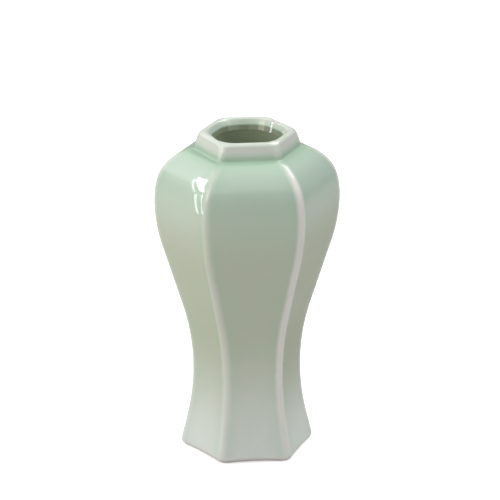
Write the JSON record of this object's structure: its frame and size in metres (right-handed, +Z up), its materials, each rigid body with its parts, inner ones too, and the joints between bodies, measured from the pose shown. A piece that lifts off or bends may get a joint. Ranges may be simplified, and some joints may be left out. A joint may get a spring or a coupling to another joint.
{
  "type": "meiping vase",
  "caption": "Hexagonal baluster vase with a narrow waist, swelling shoulder and short flaring collar, in pale green celadon glaze over slab-built porcelain.",
  "frame": {"origin": "centre of the standing face, on the surface that the vase stands on", "axes": "+Z up along the vase's axis; two ridges of the hexagon lie in the XZ plane and the front panel faces -Y"},
  "size_m": [0.1112, 0.0972, 0.2],
  "materials": {
    "celadon_glaze": "glossy",
    "porcelain_clay": "matte"
  },
  "bodies": {
    "root": {"front_panel": "porcelain_clay", "front_right_panel": "porcelain_clay", "back_right_panel": "porcelain_clay", "back_panel": "porcelain_clay", "back_left_panel": "porcelain_clay", "front_left_panel": "porcelain_clay", "floor_slab": "porcelain_clay", "neck_collar": "porcelain_clay", "outer_glaze": "celadon_glaze", "inner_glaze": "celadon_glaze", "base_glaze": "celadon_glaze"}
  },
  "joints": []
}
